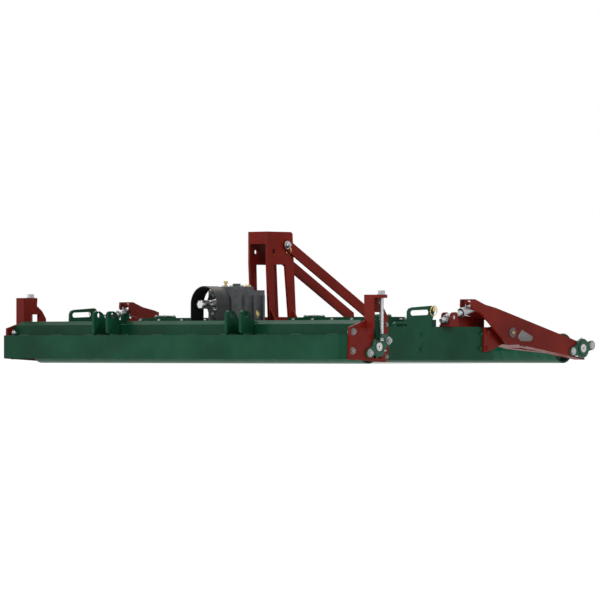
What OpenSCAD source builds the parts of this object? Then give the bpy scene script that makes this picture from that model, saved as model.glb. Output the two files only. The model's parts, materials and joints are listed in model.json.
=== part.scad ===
// Three-rotor tractor-mounted rotary mower on a front and a rear roller.
// Heights are counted from the lower edge of the side plates, lengths from
// the row of the two front rotors; place() then sets the whole on its
// rollers with the origin under the middle of its outline.
// +X is the mower's left-to-right width, -Y is the hitch side, +Z is up.

/* [Deck] */
// Width over the two side plates
deck_w = 1836; // [1600:1:2100]
// Distance of the front wall ahead of the front rotors
front_reach = 587; // [575:1:640]
// Distance of the rear wall behind the front rotors
rear_reach = 647; // [610:1:700]
// Width of the rear wall between its two slanted neighbours
rear_wall_w = 822; // [640:1:900]
// End of the side plates behind the front rotors
side_end = 280; // [260:1:320]
// Height of the top sheet's upper face
deck_h = 118; // [112:1:130]
// Height of the front wall
fascia_h = 96; // [90:1:104]
// Thickness of the top sheet and the skirt
sheet_t = 5; // [4:0.5:6]
// Thickness of the side plates
side_t = 10; // [8:0.5:12]

/* [Rotors] */
// Distance of the outer rotors from the middle
rotor_x = 582; // [575:1:583]
// Distance of the middle rotor behind the others
rotor_back = 255; // [245:1:275]
// Blade tip circle radius
blade_r = 312; // [290:1:315]
// Blade width
blade_w = 66; // [50:1:80]
// Blade thickness
blade_t = 8; // [6:0.5:10]
// Direction of the blades as they stand
blade_turn = -14; // [-90:1:90]
// Radius of the dish under each rotor
dish_r = 97; // [90:1:110]
// Lowest face of the dish
dish_z = 7; // [4:0.5:12]
// Outer radius of the round baffle about each rotor
ring_r = 325; // [322:1:325]
// Lower edge of the round baffles
ring_z = 27; // [15:1:40]
// Radius of a rotor's shaft
shaft_r = 20; // [16:0.5:24]
// Radius of a spindle housing's flange
flange_r = 78; // [72:1:90]

/* [Front roller] */
// Radius of the front roller
front_r = 64; // [58:0.5:66]
// Distance of the front roller behind the front wall
front_roller_in = 187; // [184:1:195]
// Space between the front roller's end and a side plate's outer face
front_play = 38; // [24:1:60]

/* [Rear roller] */
// Radius of the rear roller
rear_r = 58.5; // [52:0.5:62]
// Distance of the rear roller behind the rear wall
rear_roller_out = 121; // [112:1:135]
// Space between the rear roller's end and a side plate's outer face
rear_play = 56; // [40:1:70]
// Radius of the stub shafts of both rollers
stub_r = 17; // [14:0.5:18]

/* [Rear arms] */
// Space between a side plate and an arm's long outer bar
bar_gap = 27; // [26:1:32]
// Thickness of an arm's plates
arm_t = 10; // [8:0.5:12]
// Radius of an arm's pivot pin
pivot_r = 15; // [12:0.5:18]
// Radius of the adjuster's screw
screw_r = 9; // [7:0.5:9.5]
// Outer radius of the adjuster's tube
tube_r = 16; // [14.5:0.5:17]

/* [Hitch] */
// Distance between the middles of the two lower link clevises
link_span = 718; // [680:1:760]
// Clear width of a lower link clevis
link_gap = 64; // [58:1:70]
// Thickness of a lower link lug
lug_t = 12; // [10:0.5:15]
// Radius of a lower link pin hole
link_r = 11.1; // [10:0.1:12]
// Radius of the top link pin hole
top_r = 9.8; // [9:0.1:11]
// Clear width between the mast's side plates
mast_gap = 84; // [76:1:100]
// Height of the mast's top
mast_top = 504; // [490:1:530]
// Radius of the input shaft
pto_r = 17.45; // [17:0.05:18]

/* [Hidden] */
$fn = 64;
// Height of the side plates' lower edge above the floor
ground_gap = 14;
// Play of a pin or shaft that turns in its hole, and gap between bodies
fit = 0.05;
skin = 0.3;
// Overshoot of a cut
cut = 1;

half_w = deck_w / 2;
wall_x = rear_wall_w / 2;
side_in = half_w - side_t;
under = deck_h - sheet_t;

front_roller_y = front_reach - front_roller_in;
front_half = half_w - front_play;
rear_roller_y = rear_reach + rear_roller_out;
rear_half = half_w - rear_play;
deck_front = front_roller_y - 64;

skirt_slant = atan2(rear_reach - side_end, side_in - wall_x);
slant_l = sqrt(pow(rear_reach - side_end, 2) + pow(side_in - wall_x, 2));

front_roller_z = front_r - ground_gap;
rear_roller_z = rear_r - ground_gap;
FRONT_AXLE = [-front_roller_y, front_roller_z];
REAR_AXLE = [rear_roller_y, rear_roller_z];

// Rotors: [place across, place along]
ROTORS = [[-rotor_x, 0], [0, rotor_back], [rotor_x, 0]];

// Travel of the front roller's carriers, down and up
front_down = 20;
front_up = 25;

// Front bracket plate, on the side plates' outer face, and its screw
brk_in = half_w;
brk_t = 10;
brk_out = brk_in + brk_t;
screw_x = brk_out + 19;
window_w = 2 * stub_r + 10;

// Rear arm: outer bar, inner cheek, pivot, screw pin and screw trunnion
bar_x = half_w + bar_gap;
cheek_t = 8;
cheek_x = bar_x - 52;
pivot = [side_end + 70, 105];
pin_q = [side_end - 120, 203];
trunnion = [side_end - 268, 163];
cross_r = 8;
adj_x = bar_x - tube_r - 2;
adj_len = sqrt(pow(pin_q[0] - trunnion[0], 2) + pow(pin_q[1] - trunnion[1], 2));
adj_tilt = atan2(pin_q[1] - trunnion[1], pin_q[0] - trunnion[0]);

// Hitch beam on the front shelf: front and back, width and height
beam_front = front_reach - 67;
beam_back = front_reach - 117;
beam_top = fascia_h + 40;
hood_top = fascia_h + 55;

// Lower link pins, and the outline of the whole along Y for the origin
link_y = -front_reach + 23;
link_z = fascia_h + 78;
lug_front = link_y - 30;
oval_l = 76;
oval_h = 76;
rear_end = rear_roller_y + oval_l;
mid_y = (rear_end + lug_front) / 2;

// Input shaft's axis
pto_z = deck_h + 97;

// Common shapes

module place() {
  translate([0, -mid_y, ground_gap]) children();
}

module both() {
  children();
  mirror([1, 0, 0]) children();
}

// A plate in the Y-Z plane from x outwards, drawn as [along, up]
module plate_x(x, t) {
  translate([x, 0, 0]) rotate([90, 0, 90]) linear_extrude(t) children();
}

// A round bar along X from x0 to x1 at [along, up]
module rod_x(x0, x1, r, at) {
  translate([x0, at[0], at[1]]) rotate([0, 90, 0]) cylinder(h = x1 - x0, r = r);
}

module slot2d(l, w) {
  square([l - w, w], center = true);
  for (s = [-1, 1]) translate([s * (l - w) / 2, 0]) circle(d = w);
}

// An oval bearing flange's outline about its shaft, with its two bolt ears
module oval2d(tilt, hole) {
  ear = 18;
  difference() {
    union() {
      circle(r = oval_h / 2);
      rotate(tilt) {
        square([2 * (oval_l - ear), 2 * ear], center = true);
        for (s = [-1, 1]) translate([s * (oval_l - ear), 0]) circle(r = ear);
      }
    }
    circle(r = hole);
  }
}

// Deck

module deck_outline(inset) {
  polygon([
    [-side_in + inset, -deck_front], [-side_in + inset, side_end],
    [-wall_x + inset, rear_reach - inset], [wall_x - inset, rear_reach - inset],
    [side_in - inset, side_end], [side_in - inset, -deck_front]]);
}

module deck_plate() {
  spindle_hole = 52;
  color("#0b3d24") place() difference() {
    translate([0, 0, under]) linear_extrude(sheet_t) deck_outline(0);
    for (p = ROTORS) translate([p[0], p[1], under - cut]) cylinder(h = sheet_t + 2 * cut, r = spindle_hole);
  }
}

// Front wall with its top shelf and its two folded corners
corner_back = front_reach - 50;

module front_fascia() {
  wall_z = 4;
  corner_x = half_w - 16;
  turn_y = -front_reach + 25;
  color("#0b3d24") place() {
    translate([-corner_x, -front_reach - sheet_t, wall_z])
      cube([2 * corner_x, sheet_t, fascia_h - wall_z]);
    translate([-corner_x, -front_reach, fascia_h - sheet_t])
      cube([2 * corner_x, front_reach - beam_back, sheet_t]);
    both() translate([0, 0, wall_z]) linear_extrude(fascia_h - wall_z)
      polygon([[corner_x, -front_reach - sheet_t], [half_w, turn_y], [half_w, -corner_back],
        [half_w - sheet_t, -corner_back], [half_w - sheet_t, turn_y], [corner_x, -front_reach]]);
  }
}

// Rear leg of the roller hood, in front of the top sheet
hood_leg = deck_front + sheet_t;

// Side plate's outline with its two slotted loops on the top edge. The
// notch below the front roller's axle lets the axle rise and fall.
module side2d() {
  edge = deck_h + 9;
  difference() {
    polygon([[-corner_back, 0], [side_end, 0], [side_end, 26], [side_end - 4, deck_h - 6],
      [side_end - 85, edge], [-84, edge], [-71, 166], [-62, 188], [-66, 202], [-76, 207],
      [-190, 200], [-206, 195], [-214, 184], [-216, edge + 16], [-224, edge + 19], [-286, edge + 17],
      [-296, edge + 11], [-300, edge], [-deck_front + skin, edge], [-deck_front + skin, under - skin],
      [-hood_leg - skin, under - skin], [-hood_leg - skin, deck_h + 6], [-hood_leg - 9 - skin, hood_top - sheet_t],
      [-beam_back, hood_top - sheet_t], [-beam_back, fascia_h], [-corner_back, fascia_h]]);
    translate([-146, 180]) rotate(2) slot2d(112, 20);
    translate([-254, edge + 5]) slot2d(60, 10);
    translate([-front_roller_y, 0]) square([2 * stub_r + 8, 2 * (front_roller_z + front_up)], center = true);
    translate([-front_roller_y, front_roller_z + front_up]) circle(r = stub_r + 4);
  }
}

module side_plate() {
  color("#0b3d24") place() plate_x(side_in, side_t) side2d();
}
module side_plate_left() { mirror([1, 0, 0]) side_plate(); }
module side_plate_right() { side_plate(); }

// Skirt behind the rotors, three walls with stacked slots.
// Slot groups: [start along its wall, length]
SLANT_SLOTS = [[168, 160], [373, 205]];
REAR_SLOTS = [[50, 190], [rear_wall_w - 240, 190]];
SLOT_Z = [40, 68, 96];
slot_w = 12;

module slotted_wall(l, groups) {
  rotate([90, 0, 0]) translate([0, 0, -sheet_t]) linear_extrude(sheet_t) difference() {
    square([l, under]);
    for (g = groups, z = SLOT_Z) translate([g[0] + g[1] / 2, z]) slot2d(g[1], slot_w);
  }
}

module rear_skirt() {
  color("#0b3d24") place() {
    translate([-wall_x, rear_reach - sheet_t, 0]) slotted_wall(rear_wall_w, REAR_SLOTS);
    both() translate([side_in, side_end, 0]) rotate(180 - skirt_slant) mirror([0, 1, 0])
      slotted_wall(slant_l, SLANT_SLOTS);
  }
}

// Round baffles about the rotors, hung from the top sheet and open where
// two of them meet
ring_t = 4;

module baffle(i) {
  others = [for (j = [0:2]) if (j != i) j];
  inner = i == 1 ? ring_r - ring_t : ring_r + skin;
  color("#0b3d24") place() translate([0, 0, ring_z]) linear_extrude(under - ring_z) difference() {
    translate(ROTORS[i]) circle(r = ring_r, $fn = 128);
    translate(ROTORS[i]) circle(r = ring_r - ring_t, $fn = 128);
    for (j = others) translate(ROTORS[j]) circle(r = inner, $fn = 128);
  }
}
module baffle_left() { baffle(0); }
module baffle_middle() { baffle(1); }
module baffle_right() { baffle(2); }

// Cast spindle housings: a round flange under the top sheet, a tapering
// body and six ribs between them
housing_foot = 46;

module spindle_housings() {
  body_top = 52;
  body_foot = 39;
  flange_t = 13;
  rib_t = 8;
  rib_z = under - flange_t;
  color("#1c1c1e") place() for (p = ROTORS) translate([p[0], p[1], 0]) difference() {
    union() {
      translate([0, 0, rib_z]) cylinder(h = flange_t, r = flange_r);
      translate([0, 0, housing_foot]) cylinder(h = 8, r = body_foot + 4);
      translate([0, 0, housing_foot]) cylinder(h = rib_z - housing_foot, r1 = body_foot, r2 = body_top);
      for (a = [0:60:300]) rotate(a) rotate([90, 0, 0]) translate([0, 0, -rib_t / 2]) linear_extrude(rib_t)
        polygon([[body_foot - 8, housing_foot + 16], [body_foot + 6, housing_foot + 16],
          [flange_r - 12, rib_z - 12], [flange_r - 6, rib_z + cut], [body_foot - 8, rib_z + cut]]);
    }
    translate([0, 0, housing_foot - cut]) cylinder(h = under - housing_foot - 4, r = shaft_r + fit);
  }
}

// Front roller brackets: plate, upright channel and cap for the screw
cap_z = 234;
cap_t = 12;
column_w = 34;

module bracket2d() {
  front = -front_roller_y - 160;
  difference() {
    polygon([[front, 3], [front + 4, 124], [-front_roller_y - 66, 150], [-front_roller_y - 66, cap_z + cap_t],
      [-front_roller_y + 10, cap_z + cap_t], [-front_roller_y + 8, 214], [-front_roller_y + 36, 194],
      [-front_roller_y + 58, 164], [-front_roller_y + 62, 12], [-front_roller_y + 44, -8]]);
    translate([-front_roller_y - window_w / 2, front_roller_z - front_down - stub_r - 6])
      square([window_w, 186 - front_roller_z + front_down + stub_r]);
  }
}

module front_bracket() {
  column_back = 9;
  post_y = -front_roller_y - 66;
  color("#7a0e10") place() {
    plate_x(brk_in, brk_t) bracket2d();
    translate([brk_out, post_y, 118]) cube([column_w, column_back, cap_z - 118]);
    difference() {
      translate([brk_out, post_y, cap_z]) cube([column_w, 82, cap_t]);
      translate([screw_x, -front_roller_y, cap_z - cut]) cylinder(h = cap_t + 2 * cut, r = 8 + skin);
    }
    translate([brk_out, post_y + column_back, cap_z - 30]) rotate([90, 0, 90]) linear_extrude(6)
      polygon([[0, 0], [60, 30], [0, 30]]);
  }
}
module front_bracket_left() { mirror([1, 0, 0]) front_bracket(); }
module front_bracket_right() { front_bracket(); }

height_r = 8;

module height_screws() {
  color("#8d9296") place() both() translate([screw_x, -front_roller_y, 0]) {
    translate([0, 0, front_roller_z + 22]) cylinder(h = cap_z + cap_t - front_roller_z - 22, r = height_r);
    translate([0, 0, cap_z + cap_t]) cylinder(h = 3, r = 17);
    translate([0, 0, cap_z + cap_t + 3]) cylinder(h = 13, r = 14, $fn = 6);
  }
}

// Hitch

module hitch_beam() {
  color("#0b3d24") place() translate([-half_w, -beam_front, fascia_h])
    cube([deck_w, beam_front - beam_back, beam_top - fascia_h]);
}

// Folded sheet over the front roller, from the hitch beam to the deck
module roller_hood() {
  rise = beam_back + 18;
  color("#0b3d24") place() translate([-half_w, 0, 0]) rotate([90, 0, 90]) linear_extrude(deck_w)
    polygon([[-beam_back - 30, beam_top], [-rise + 9, hood_top], [-deck_front - 12, hood_top],
      [-deck_front, deck_h + 8], [-deck_front, under], [-hood_leg, under], [-hood_leg, deck_h + 6],
      [-hood_leg - 9, hood_top - sheet_t], [-beam_back, hood_top - sheet_t], [-beam_back, beam_top]]);
}

// A lower link lug on the shelf and the beam. The inner lugs carry a
// second, smaller ear behind.
module lug2d(eared) {
  top = link_z + 15;
  back = -beam_back - 30;
  difference() {
    union() {
      polygon([[lug_front + 12, fascia_h], [lug_front, fascia_h + 14], [lug_front, top - 14], [lug_front + 5, top - 5],
        [lug_front + 14, top], [link_y + 4, top], [link_y + 20, top - 8], [link_y + 34, link_z - 16],
        [link_y + 50, link_z - 28], [back, beam_top + 8], [back, beam_top], [-beam_front, beam_top],
        [-beam_front, fascia_h]]);
      if (eared) polygon([[back - 12, beam_top], [back - 10, link_z - 2], [back - 2, link_z + 8],
        [back + 14, link_z + 10], [back + 24, link_z + 4], [back + 29, beam_top + 26],
        [back + 12, beam_top + 12], [back, beam_top + 4], [back, beam_top]]);
    }
    translate([link_y, link_z]) circle(r = link_r);
    if (eared) translate([back + 8, link_z - 4]) circle(r = 6);
  }
}

module lower_lugs() {
  inner = (link_span - link_gap) / 2 - lug_t;
  outer = (link_span + link_gap) / 2;
  color("#0b3d24") place() both() {
    plate_x(inner, lug_t) lug2d(true);
    plate_x(outer, lug_t) lug2d(false);
  }
}

// Mast: two side plates with a boxed head
mast_front = -74;
mast_back = 72;
mast_foot = 95;
mast_t = 10;
head_h = 49;
head_t = 8;

module mast2d() {
  difference() {
    polygon([[mast_front + 14, deck_h], [mast_front, mast_top - 130], [mast_front, mast_top],
      [mast_back - 8, mast_top], [mast_back, mast_top - 8], [mast_foot, deck_h]]);
    translate([mast_front + 36, mast_top - 79]) circle(r = top_r);
    polygon([[-30, deck_h + 50], [-36, mast_top - 130], [30, mast_top - 130], [52, deck_h + 50]]);
  }
}

module top_mast() {
  foot_w = 60;
  head_d = mast_back - mast_front - 8;
  color("#8e1210") place() {
    both() plate_x(mast_gap / 2, mast_t) mast2d();
    translate([-mast_gap / 2, mast_front, mast_top - head_t]) cube([mast_gap, head_d, head_t]);
    translate([-mast_gap / 2, mast_front, mast_top - head_h]) cube([mast_gap, head_t, head_h - head_t]);
    both() translate([mast_gap / 2 + mast_t, mast_front + 14, deck_h]) cube([foot_w, mast_foot - mast_front - 14, 10]);
    both() for (y = [mast_front + 24, mast_foot - 16]) translate([mast_gap / 2 + mast_t, y, deck_h + 10])
      rotate([90, 0, 0]) linear_extrude(8) polygon([[0, 0], [44, 0], [0, 70]]);
  }
}

// Square tube across the rear of the deck, and two flat stays to the mast
rear_beam_y = rear_reach - 130;
rear_beam_s = 40;

module rear_beam() {
  half_l = wall_x - 30;
  color("#0b3d24") place() translate([-half_l, rear_beam_y, deck_h]) cube([2 * half_l, rear_beam_s, rear_beam_s]);
}

module mast_stays() {
  stay_x = mast_gap / 2 + mast_t;
  foot_z = deck_h + rear_beam_s;
  color("#8e1210") place() both() {
    plate_x(stay_x, 8) polygon([[mast_back - 46, mast_top - 70], [mast_back - 34, mast_top - 28],
      [rear_beam_y + 30, foot_z + 30], [rear_beam_y + 34, foot_z], [rear_beam_y, foot_z]]);
    translate([stay_x + 8, rear_beam_y, foot_z]) cube([30, rear_beam_s - 4, 8]);
  }
}

// Gearbox on its plate in front of the mast
gear_y = -195;
gear_l = 190;

module gearbox() {
  plate_t = 14;
  body_z = deck_h + plate_t;
  body_h = 140;
  front = gear_y - gear_l / 2;
  back = gear_y + gear_l / 2;
  color("#2a2c2e") place() {
    translate([-115, front - 20, deck_h]) cube([230, back - front + 30, plate_t]);
    difference() {
      union() {
        translate([0, 0, body_z]) linear_extrude(body_h) polygon([[-62, front], [62, front], [88, front + 28],
          [88, back - 28], [62, back], [-62, back], [-88, back - 28], [-88, front + 28]]);
        translate([0, gear_y, body_z + body_h]) cylinder(h = 14, r = 66);
        translate([0, gear_y, body_z + body_h + 14]) cylinder(h = 12, r = 16, $fn = 6);
        translate([0, front, pto_z]) rotate([90, 0, 0]) cylinder(h = 18, r = 54);
        translate([0, back + 10, pto_z]) rotate([90, 0, 0]) cylinder(h = 10, r = 50);
        for (s = [-1, 1]) translate([s * 88, 0, 0]) for (y = [front + 44, gear_y, back - 44])
          translate([s > 0 ? 0 : -12, y - 5, body_z]) cube([12, 10, body_h - 20]);
        translate([0, gear_y, body_z]) cylinder(h = 20, r = 94);
      }
      translate([0, front + 52, pto_z]) rotate([90, 0, 0]) cylinder(h = 90, r = pto_r + 5 + fit);
    }
  }
}

shaft_end = gear_y - gear_l / 2 - 112;

module input_shaft() {
  shoulder = shaft_end + 82;
  tail = gear_y - gear_l / 2 + 50;
  color("#9a9da0") place() translate([0, 0, pto_z]) {
    translate([0, tail, 0]) rotate([90, 0, 0]) cylinder(h = tail - shoulder, r = pto_r + 5);
    translate([0, shoulder, 0]) rotate([90, 0, 0]) cylinder(h = 82, r = pto_r);
  }
}

// Sheet hood over the input shaft, open at the front and below. Its front
// half ends above the roller hood.
module shaft_guard() {
  inner = 68;
  guard_t = 4;
  guard_l = 70;
  outer = inner + guard_t;
  foot_y = gear_y - gear_l / 2 - 20;
  color("#151617") place() difference() {
    translate([0, foot_y, 0]) rotate([90, 0, 0]) linear_extrude(guard_l) difference() {
      union() {
        translate([0, pto_z]) circle(r = outer);
        translate([-outer, deck_h]) square([2 * outer, pto_z - deck_h]);
      }
      translate([0, pto_z]) circle(r = inner);
      translate([-inner, deck_h - cut]) square([2 * inner, pto_z - deck_h + cut]);
    }
    translate([-outer - cut, foot_y - guard_l - cut, deck_h - cut])
      cube([2 * outer + 2 * cut, foot_y - guard_l < -deck_front ? guard_l - deck_front - foot_y + cut : cut, hood_top - deck_h + 2 * cut]);
  }
}

// Cover over the belts: from the middle to each outer rotor and back to
// the middle one, with a raised lid
module cover2d(m) {
  side_x = 120 + m;
  for (p = ROTORS) translate(p) circle(r = 112 - m);
  for (s = [-1, 1]) polygon([[s * side_x, -60 + m], [s * rotor_x, -110 + m], [s * (rotor_x + 30), 0],
    [s * rotor_x, 110 - m], [s * 96, rotor_back + 50 - m], [0, rotor_back], [0, 106 + m], [s * side_x, 106 + m]]);
}

module belt_cover() {
  wall_h = 38;
  lid_h = 10;
  color("#0b3d24") place() {
    translate([0, 0, deck_h]) linear_extrude(wall_h) cover2d(0);
    translate([0, 0, deck_h + wall_h]) linear_extrude(lid_h) cover2d(14);
  }
}

// Lifting stays behind the slanted walls
module rear_stays() {
  stay_h = 84;
  color("#0b3d24") place() both() translate([side_in, side_end, 12]) rotate(180 - skirt_slant)
    translate([288, -64 - sheet_t, 0]) difference() {
      cube([8, 64, stay_h]);
      for (z = [26, 58]) translate([-cut, 26, z]) rotate([0, 90, 0]) cylinder(h = 8 + 2 * cut, r = 6);
    }
}

// Rear arms and their adjusters

module arm_bracket() {
  front = side_end - 67;
  color("#7a0e10") place() plate_x(half_w, brk_t) difference() {
    union() {
      polygon([[front, 30], [front, deck_h + 8], [front + 34, deck_h + 8], [pivot[0] - 50, pivot[1] + 29],
        pivot + [-6, 31], pivot + [14, -28], [side_end - 26, 34]]);
      translate(pivot) circle(r = 31);
    }
    translate(pivot) circle(r = pivot_r + fit);
  }
}
module arm_bracket_left() { mirror([1, 0, 0]) arm_bracket(); }
module arm_bracket_right() { arm_bracket(); }

// Clevises that hold the adjusters' trunnions, bolted on the deck
module screw_clevises() {
  ear_in = 19;
  ear_t = 6;
  ear_l = 54;
  seat_z = deck_h + 10;
  stand_x = side_in - skin - 9;
  color("#7a0e10") place() both() translate([0, trunnion[0] - ear_l / 2, 0]) {
    translate([stand_x - 40, 0, deck_h]) cube([49, ear_l, 7]);
    translate([stand_x, 0, deck_h]) cube([9, ear_l, seat_z - deck_h]);
    translate([stand_x, 0, seat_z]) cube([adj_x + ear_in + ear_t - stand_x, ear_l, 6]);
    for (s = [-1, 1]) difference() {
      plate_x(adj_x + s * (ear_in + ear_t / 2) - ear_t / 2, ear_t)
        polygon([[0, seat_z], [ear_l, seat_z], [ear_l - 8, trunnion[1] + 14], [ear_l - 18, trunnion[1] + 19],
          [18, trunnion[1] + 19], [8, trunnion[1] + 14]]);
      rod_x(adj_x - 40, adj_x + 40, cross_r + fit, [ear_l / 2, trunnion[1]]);
    }
  }
}

module arm_pins() {
  color("#8d9296") place() both() {
    rod_x(half_w, bar_x + arm_t + 3, pivot_r, pivot);
    rod_x(bar_x + arm_t + skin, bar_x + arm_t + 3, pivot_r + 5, pivot);
  }
}

// Outer bar of an arm: head over the screw pin, straight back, foot round
// the roller's axle
HEAD = [[side_end - 168, 233], [side_end - 150, 233], [side_end - 93, 213], [side_end - 26, 200]];
box_y = side_end + 108;
box_z = 59;

module bar2d() {
  foot = REAR_AXLE;
  difference() {
    polygon(concat(HEAD, [foot + [-32, 30], foot + [8, 28], foot + [26, 12], foot + [30, -8],
      foot + [22, -28], foot + [-67, -31], [box_y, box_z], [box_y - 63, box_z - 2],
      [side_end - 116, 182], [side_end - 150, 190], [side_end - 170, 208]]));
    translate(pivot) circle(r = pivot_r + fit);
    translate(REAR_AXLE) circle(r = stub_r + 4);
  }
}

// Inner cheek beside the screw's tube
module cheek2d() {
  polygon(concat(HEAD, [[side_end + 2, 192], [side_end + 2, 156], [side_end - 30, 154],
    [side_end - 156, 176], [side_end - 170, 208]]));
}

module rear_arm() {
  floor_drop = atan2(box_z - (REAR_AXLE[1] - 31), REAR_AXLE[0] - 67 - box_y);
  floor_t = 6;
  floor_in = half_w - 25;
  floor_l = (REAR_AXLE[0] - 67 - box_y) + 103;
  web_x = cheek_x;
  color("#7a0e10") place() {
    plate_x(bar_x, arm_t) bar2d();
    difference() {
      rod_x(brk_out + skin, bar_x, pivot_r + 12, pivot);
      rod_x(brk_out, bar_x + cut, pivot_r + fit, pivot);
    }
    plate_x(cheek_x, cheek_t) cheek2d();
    translate([cheek_x, HEAD[0][0], HEAD[0][1] - 6]) cube([bar_x - cheek_x, HEAD[1][0] - HEAD[0][0], 6]);
    translate([cheek_x, side_end - 6, 158]) cube([bar_x - cheek_x, 8, 34]);
    rod_x(cheek_x, bar_x, cross_r, pin_q);
    translate([0, box_y, box_z]) rotate([-floor_drop, 0, 0]) linear_extrude(floor_t) difference() {
      polygon([[bar_x, 0], [bar_x - 140, 0], [bar_x - 151, floor_l * 0.28], [floor_in, floor_l * 0.57],
        [floor_in, floor_l], [bar_x, floor_l]]);
      polygon([[bar_x - 117, floor_l * 0.22], [bar_x - 55, floor_l * 0.22], [bar_x - 35, floor_l * 0.49]]);
    }
    plate_x(floor_in, 8) difference() {
      polygon([REAR_AXLE + [-138, -16], REAR_AXLE + [-138, 52], REAR_AXLE + [-32, 26],
        REAR_AXLE + [30, 22], REAR_AXLE + [32, -28], REAR_AXLE + [-66, -24]]);
      translate(REAR_AXLE) circle(r = stub_r + 4);
    }
  }
}
module rear_arm_left() { mirror([1, 0, 0]) rear_arm(); }
module rear_arm_right() { rear_arm(); }

// The adjuster is drawn along +Y from its trunnion and then tilted
module adjuster_frame() {
  translate([adj_x, trunnion[0], trunnion[1]]) rotate([adj_tilt, 0, 0]) children();
}

module adjuster_screws() {
  tail = 52;
  engaged = 38;
  color("#8d9296") place() both() adjuster_frame() {
    translate([0, -tail, 0]) rotate([-90, 0, 0]) cylinder(h = tail + adj_len - engaged, r = screw_r);
    translate([0, -28, 0]) rotate([-90, 0, 0]) cylinder(h = 12, r = 15, $fn = 6);
    translate([-23, 0, 0]) rotate([0, 90, 0]) cylinder(h = 46, r = cross_r);
    translate([-15, 0, 0]) rotate([0, 90, 0]) cylinder(h = 30, r = 14);
    translate([0, 20, 0]) rotate([-90, 0, 0]) cylinder(h = 12, r = 15, $fn = 6);
  }
}

module adjuster_tubes() {
  tube_l = 84;
  eye_w = 28;
  bore = screw_r + 2;
  color("#8d9296") place() both() adjuster_frame() difference() {
    union() {
      translate([0, adj_len - tube_l, 0]) rotate([-90, 0, 0]) cylinder(h = tube_l, r = tube_r);
      translate([-eye_w / 2, adj_len, 0]) rotate([0, 90, 0]) cylinder(h = eye_w, r = tube_r + 2);
    }
    translate([0, adj_len - tube_l - cut, 0]) rotate([-90, 0, 0]) cylinder(h = tube_l - tube_r, r = bore);
    translate([-tube_r - 4, adj_len, 0]) rotate([0, 90, 0]) cylinder(h = 2 * tube_r + 8, r = cross_r + fit);
  }
}

// Rollers

// Bearing flanges of the front roller, each with a block that slides in
// its bracket's window and a nut for the height screw
module front_flanges() {
  flange_t = 8;
  seat_x = brk_out + skin;
  nut_z = front_roller_z + 34;
  color("#0b3d24") place() both() {
    plate_x(seat_x, flange_t) translate(FRONT_AXLE) oval2d(24, stub_r + fit);
    plate_x(brk_in + skin, brk_t) translate(FRONT_AXLE) difference() {
      square([window_w - 4 * skin, 2 * stub_r + 8], center = true);
      circle(r = stub_r + fit);
    }
    difference() {
      translate([seat_x, -front_roller_y - 17, nut_z]) cube([column_w, 34, 15]);
      translate([screw_x, -front_roller_y, nut_z - cut]) cylinder(h = 20, r = height_r + fit);
    }
  }
}

// A roller with recessed ends and stub shafts
module roller(r, half, at, out_x) {
  wall = 6;
  recess = 22;
  rod_x(-half + recess, half - recess, r, at);
  both() difference() {
    rod_x(half - recess, half, r, at);
    rod_x(half - recess, half + cut, r - wall, at);
  }
  both() rod_x(half - recess, out_x, stub_r, at);
  both() rod_x(half - recess, half - recess + 8, stub_r + 12, at);
}

module front_roller() {
  color("#0f5c36") place() roller(front_r, front_half, FRONT_AXLE, brk_out + 9);
}

module rear_flanges() {
  color("#0b3d24") place() both() {
    plate_x(bar_x + arm_t, 8) translate(REAR_AXLE) oval2d(12, stub_r + fit);
    difference() {
      rod_x(bar_x + arm_t + 8, bar_x + arm_t + 13, 27, REAR_AXLE);
      rod_x(bar_x + arm_t, bar_x + arm_t + 20, stub_r + fit, REAR_AXLE);
    }
  }
}

module rear_roller() {
  color("#0f5c36") place() roller(rear_r, rear_half, REAR_AXLE, bar_x + arm_t + 12);
}

// Rotors, each about its own spindle
bar_z = 27;
spigot_r = 15;
nut_r = 14;

module rotor_shaft(p) {
  disc_z = bar_z + blade_t;
  color("#8d9296") place() translate([p[0], p[1], 0]) {
    translate([0, 0, disc_z]) cylinder(h = housing_foot - disc_z - 2, r = 54);
    translate([0, 0, disc_z]) cylinder(h = under - disc_z - 8, r = shaft_r);
    translate([0, 0, bar_z - 10]) cylinder(h = disc_z - bar_z + 10, r = spigot_r);
    translate([0, 0, bar_z - 20]) cylinder(h = 10, r = nut_r, $fn = 6);
  }
}

// Dish: flat ring round a recess for the bolt, curving up to its rim
dish_arc = 6;

module rotor_dish(p) {
  well = 30;
  flat = 50;
  wall = 4;
  rim_z = bar_z - skin - dish_z;
  rise = rim_z - wall;
  outer = [for (i = [0:dish_arc]) [flat + (dish_r - flat) * sin(90 * i / dish_arc),
    rise * (1 - cos(90 * i / dish_arc))]];
  inner = [for (i = [dish_arc:-1:0]) [flat - 2 + (dish_r - wall - flat + 2) * sin(90 * i / dish_arc),
    wall + rise * (1 - cos(90 * i / dish_arc))]];
  color("#8e1210") place() translate([p[0], p[1], dish_z]) rotate_extrude()
    polygon(concat([[spigot_r + skin, rim_z - 6], [well - wall, rim_z - 6], [well, 0]], outer, inner,
      [[well + wall + 2, wall], [well + wall, rim_z], [spigot_r + skin, rim_z]]));
}

// Blade bar with two ends: each steps down beyond the dish, ends in a
// chamfered tip and carries a bevel along its leading edge
step_in = 190;
step_out = 236;
step_h = 18;
bevel = 14;

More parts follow.
